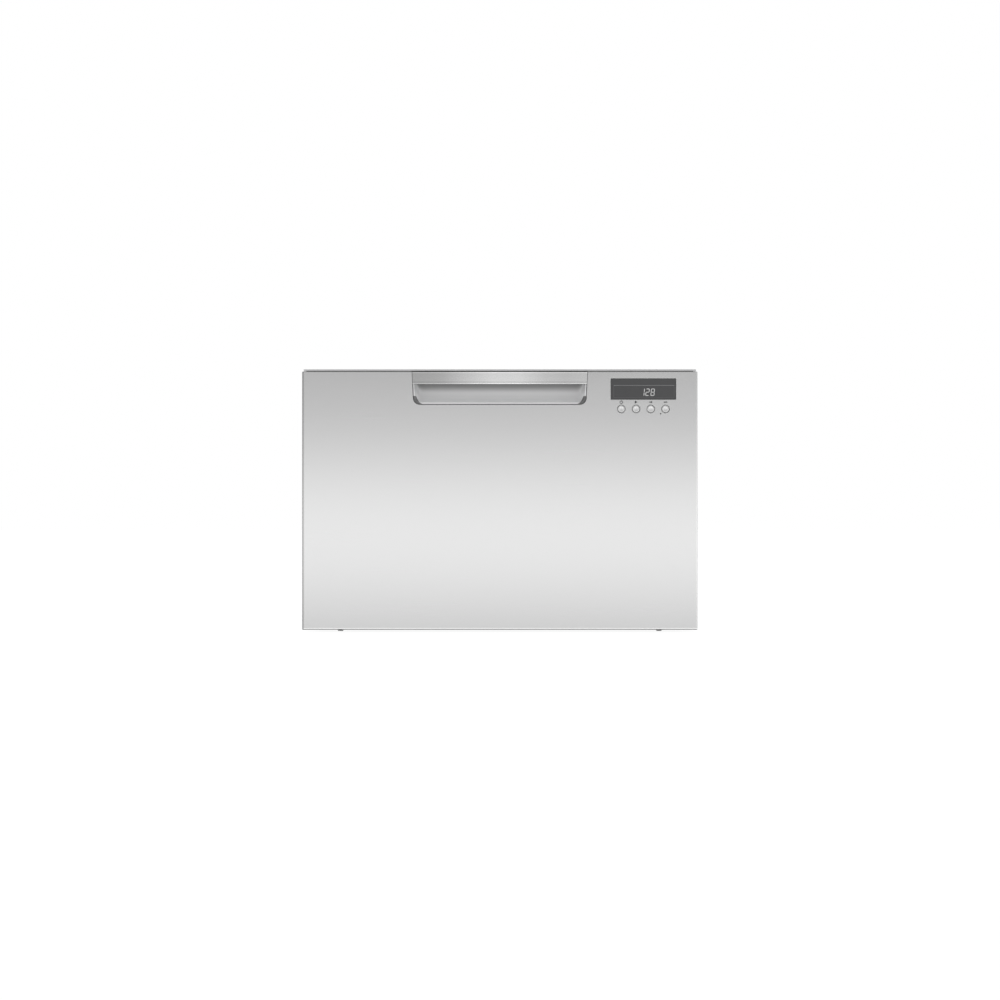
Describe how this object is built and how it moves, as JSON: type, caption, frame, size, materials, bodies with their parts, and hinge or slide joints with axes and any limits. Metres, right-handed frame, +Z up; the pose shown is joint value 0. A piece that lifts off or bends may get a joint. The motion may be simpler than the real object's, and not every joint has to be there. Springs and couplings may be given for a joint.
{
  "type": "drawer dishwasher",
  "caption": "Single-drawer built-in dishwasher: brushed steel front with a scooped handle, display window and buttons, and a tub that slides out on telescopic rails.",
  "frame": {"origin": "on the floor, under the middle of the overall box", "axes": "+X to the right seen from the front, +Y to the back, +Z up; the drawer opens towards -Y"},
  "size_m": [0.599, 0.573, 0.3992],
  "materials": {
    "stainless": "brushed, satin",
    "galvanised_steel": "zinc coated sheet, dull",
    "dark_plastic": "moulded, matt",
    "grey_plastic": "moulded, satin",
    "pale_plastic": "moulded, satin",
    "rack_plastic": "moulded, satin",
    "black_rubber": "matt",
    "dark_window": "glossy, smoked",
    "circuit_board": "laminate"
  },
  "bodies": {
    "chassis": {"chassis_wrapper": "galvanised_steel", "back_panel": "galvanised_steel", "base_pan": "dark_plastic", "front_trim": "grey_plastic", "power_module": "dark_plastic", "inlet_valve": "pale_plastic", "drain_spigot": "dark_plastic", "cord_inlet": "dark_plastic", "outer_rail_left": "galvanised_steel", "outer_rail_right": "galvanised_steel", "lid_actuator_left": "dark_plastic", "lid_actuator_right": "dark_plastic"},
    "drawer": {"front_skin": "stainless", "front_frame": "grey_plastic", "handle_pocket": "grey_plastic", "handle_bar": "stainless", "display_lens": "dark_window", "control_board": "circuit_board", "console_hood": "grey_plastic", "tub": "pale_plastic", "wash_motor": "dark_plastic", "pump_cover": "grey_plastic", "heater_plate": "stainless", "filter_plate": "grey_plastic", "drain_filter": "grey_plastic", "drain_pump": "dark_plastic", "detergent_dispenser": "pale_plastic", "vent_cap": "grey_plastic", "fan_housing": "dark_plastic", "base_rack": "rack_plastic", "rack_rim": "rack_plastic", "cutlery_basket": "grey_plastic", "inner_rail_left": "galvanised_steel", "inner_rail_right": "galvanised_steel"},
    "lid_unit": {"lid": "pale_plastic", "lid_seal": "black_rubber"},
    "runner_left": {"middle_rail_left": "galvanised_steel"},
    "runner_right": {"middle_rail_right": "galvanised_steel"},
    "pinion_left": {"lid_pinion_left": "pale_plastic"},
    "pinion_right": {"lid_pinion_right": "pale_plastic"},
    "foot_front_left": {"front_foot_left": "pale_plastic"},
    "foot_front_right": {"front_foot_right": "pale_plastic"},
    "foot_back_left": {"back_foot_left": "pale_plastic"},
    "foot_back_right": {"back_foot_right": "pale_plastic"},
    "power": {"power_button": "pale_plastic"},
    "program": {"program_button": "pale_plastic"},
    "option": {"option_button": "pale_plastic"},
    "start": {"start_button": "pale_plastic"},
    "spray_arm": {"spray_arm": "grey_plastic"},
    "impeller": {"wash_impeller": "pale_plastic"},
    "fan": {"fan_wheel": "pale_plastic"},
    "door": {"dispenser_door": "grey_plastic"},
    "rinse_cap": {"rinse_aid_cap": "grey_plastic"},
    "tines_outer_left": {"tines_outer_left": "rack_plastic"},
    "tines_inner_left": {"tines_inner_left": "rack_plastic"},
    "tines_inner_right": {"tines_inner_right": "rack_plastic"},
    "tines_outer_right": {"tines_outer_right": "rack_plastic"},
    "cup_rack_left": {"cup_rack_left": "rack_plastic"},
    "cup_rack_right": {"cup_rack_right": "rack_plastic"}
  },
  "joints": [
    {"name": "drawer_slide", "type": "slide", "parent": "chassis", "child": "drawer", "axis": [0, -1, 0], "range_m": [0, 0.5]},
    {"name": "runner_left_slide", "type": "slide", "parent": "chassis", "child": "runner_left", "axis": [0, -1, 0], "range_m": [0, 0.25]},
    {"name": "runner_right_slide", "type": "slide", "parent": "chassis", "child": "runner_right", "axis": [0, -1, 0], "range_m": [0, 0.25]},
    {"name": "lid_lift", "type": "slide", "parent": "chassis", "child": "lid_unit", "axis": [0, 0, 1], "range_m": [0, 0.01]},
    {"name": "pinion_left_turn", "type": "hinge", "parent": "chassis", "child": "pinion_left", "pos_m": [-0.2845, -0.09305, 0.3805], "axis": [1, 0, 0], "range_deg": [0, 115]},
    {"name": "pinion_right_turn", "type": "hinge", "parent": "chassis", "child": "pinion_right", "pos_m": [0.2845, -0.09305, 0.3805], "axis": [1, 0, 0], "range_deg": [0, 115]},
    {"name": "front_foot_left_adjust", "type": "slide", "parent": "chassis", "child": "foot_front_left", "axis": [0, 0, -1], "range_m": [0, 0.025]},
    {"name": "front_foot_right_adjust", "type": "slide", "parent": "chassis", "child": "foot_front_right", "axis": [0, 0, -1], "range_m": [0, 0.025]},
    {"name": "back_foot_left_adjust", "type": "slide", "parent": "chassis", "child": "foot_back_left", "axis": [0, 0, -1], "range_m": [0, 0.025]},
    {"name": "back_foot_right_adjust", "type": "slide", "parent": "chassis", "child": "foot_back_right", "axis": [0, 0, -1], "range_m": [0, 0.025]},
    {"name": "power_press", "type": "slide", "parent": "drawer", "child": "power", "axis": [0, 1, 0], "range_m": [0, 0.0012], "stiffness_N_per_m": 800},
    {"name": "program_press", "type": "slide", "parent": "drawer", "child": "program", "axis": [0, 1, 0], "range_m": [0, 0.0012], "stiffness_N_per_m": 800},
    {"name": "option_press", "type": "slide", "parent": "drawer", "child": "option", "axis": [0, 1, 0], "range_m": [0, 0.0012], "stiffness_N_per_m": 800},
    {"name": "start_press", "type": "slide", "parent": "drawer", "child": "start", "axis": [0, 1, 0], "range_m": [0, 0.0012], "stiffness_N_per_m": 800},
    {"name": "spray_arm_spin", "type": "hinge", "parent": "drawer", "child": "spray_arm", "pos_m": [0, 0.01695, 0.115], "axis": [0, 0, 1], "continuous": true},
    {"name": "impeller_spin", "type": "hinge", "parent": "drawer", "child": "impeller", "pos_m": [0, 0.01695, 0.075], "axis": [0, 0, 1], "continuous": true},
    {"name": "fan_spin", "type": "hinge", "parent": "drawer", "child": "fan", "pos_m": [-0.16, -0.248, 0.268], "axis": [0, 1, 0], "continuous": true},
    {"name": "dispenser_door_swing", "type": "hinge", "parent": "drawer", "child": "door", "pos_m": [-0.031, -0.19566, 0.276], "axis": [-1, 0, 0], "range_deg": [0, 100]},
    {"name": "rinse_cap_turn", "type": "hinge", "parent": "drawer", "child": "rinse_cap", "pos_m": [0.052, -0.196, 0.301], "axis": [0, 1, 0], "range_deg": [0, 90]},
    {"name": "tines_outer_left_fold", "type": "hinge", "parent": "drawer", "child": "tines_outer_left", "pos_m": [-0.212, 0.01695, 0.1413], "axis": [0, 1, 0], "range_deg": [0, 84]},
    {"name": "tines_inner_left_fold", "type": "hinge", "parent": "drawer", "child": "tines_inner_left", "pos_m": [-0.118, 0.01695, 0.1413], "axis": [0, -1, 0], "range_deg": [0, 84]},
    {"name": "tines_inner_right_fold", "type": "hinge", "parent": "drawer", "child": "tines_inner_right", "pos_m": [0.118, 0.01695, 0.1413], "axis": [0, 1, 0], "range_deg": [0, 84]},
    {"name": "tines_outer_right_fold", "type": "hinge", "parent": "drawer", "child": "tines_outer_right", "pos_m": [0.212, 0.01695, 0.1413], "axis": [0, -1, 0], "range_deg": [0, 84]},
    {"name": "cup_rack_left_fold", "type": "hinge", "parent": "drawer", "child": "cup_rack_left", "pos_m": [-0.2501, 0.01695, 0.252], "axis": [0, -1, 0], "range_deg": [0, 91.5]},
    {"name": "cup_rack_right_fold", "type": "hinge", "parent": "drawer", "child": "cup_rack_right", "pos_m": [0.2501, 0.01695, 0.252], "axis": [0, 1, 0], "range_deg": [0, 91.5]}
  ],
  "couplings": [
    {"joint": "runner_left_slide", "follows": "drawer_slide", "ratio": 0.5},
    {"joint": "runner_right_slide", "follows": "drawer_slide", "ratio": 0.5},
    {"joint": "pinion_left_turn", "follows": "lid_lift", "rad_per_m": 200},
    {"joint": "pinion_right_turn", "follows": "lid_lift", "rad_per_m": 200}
  ]
}
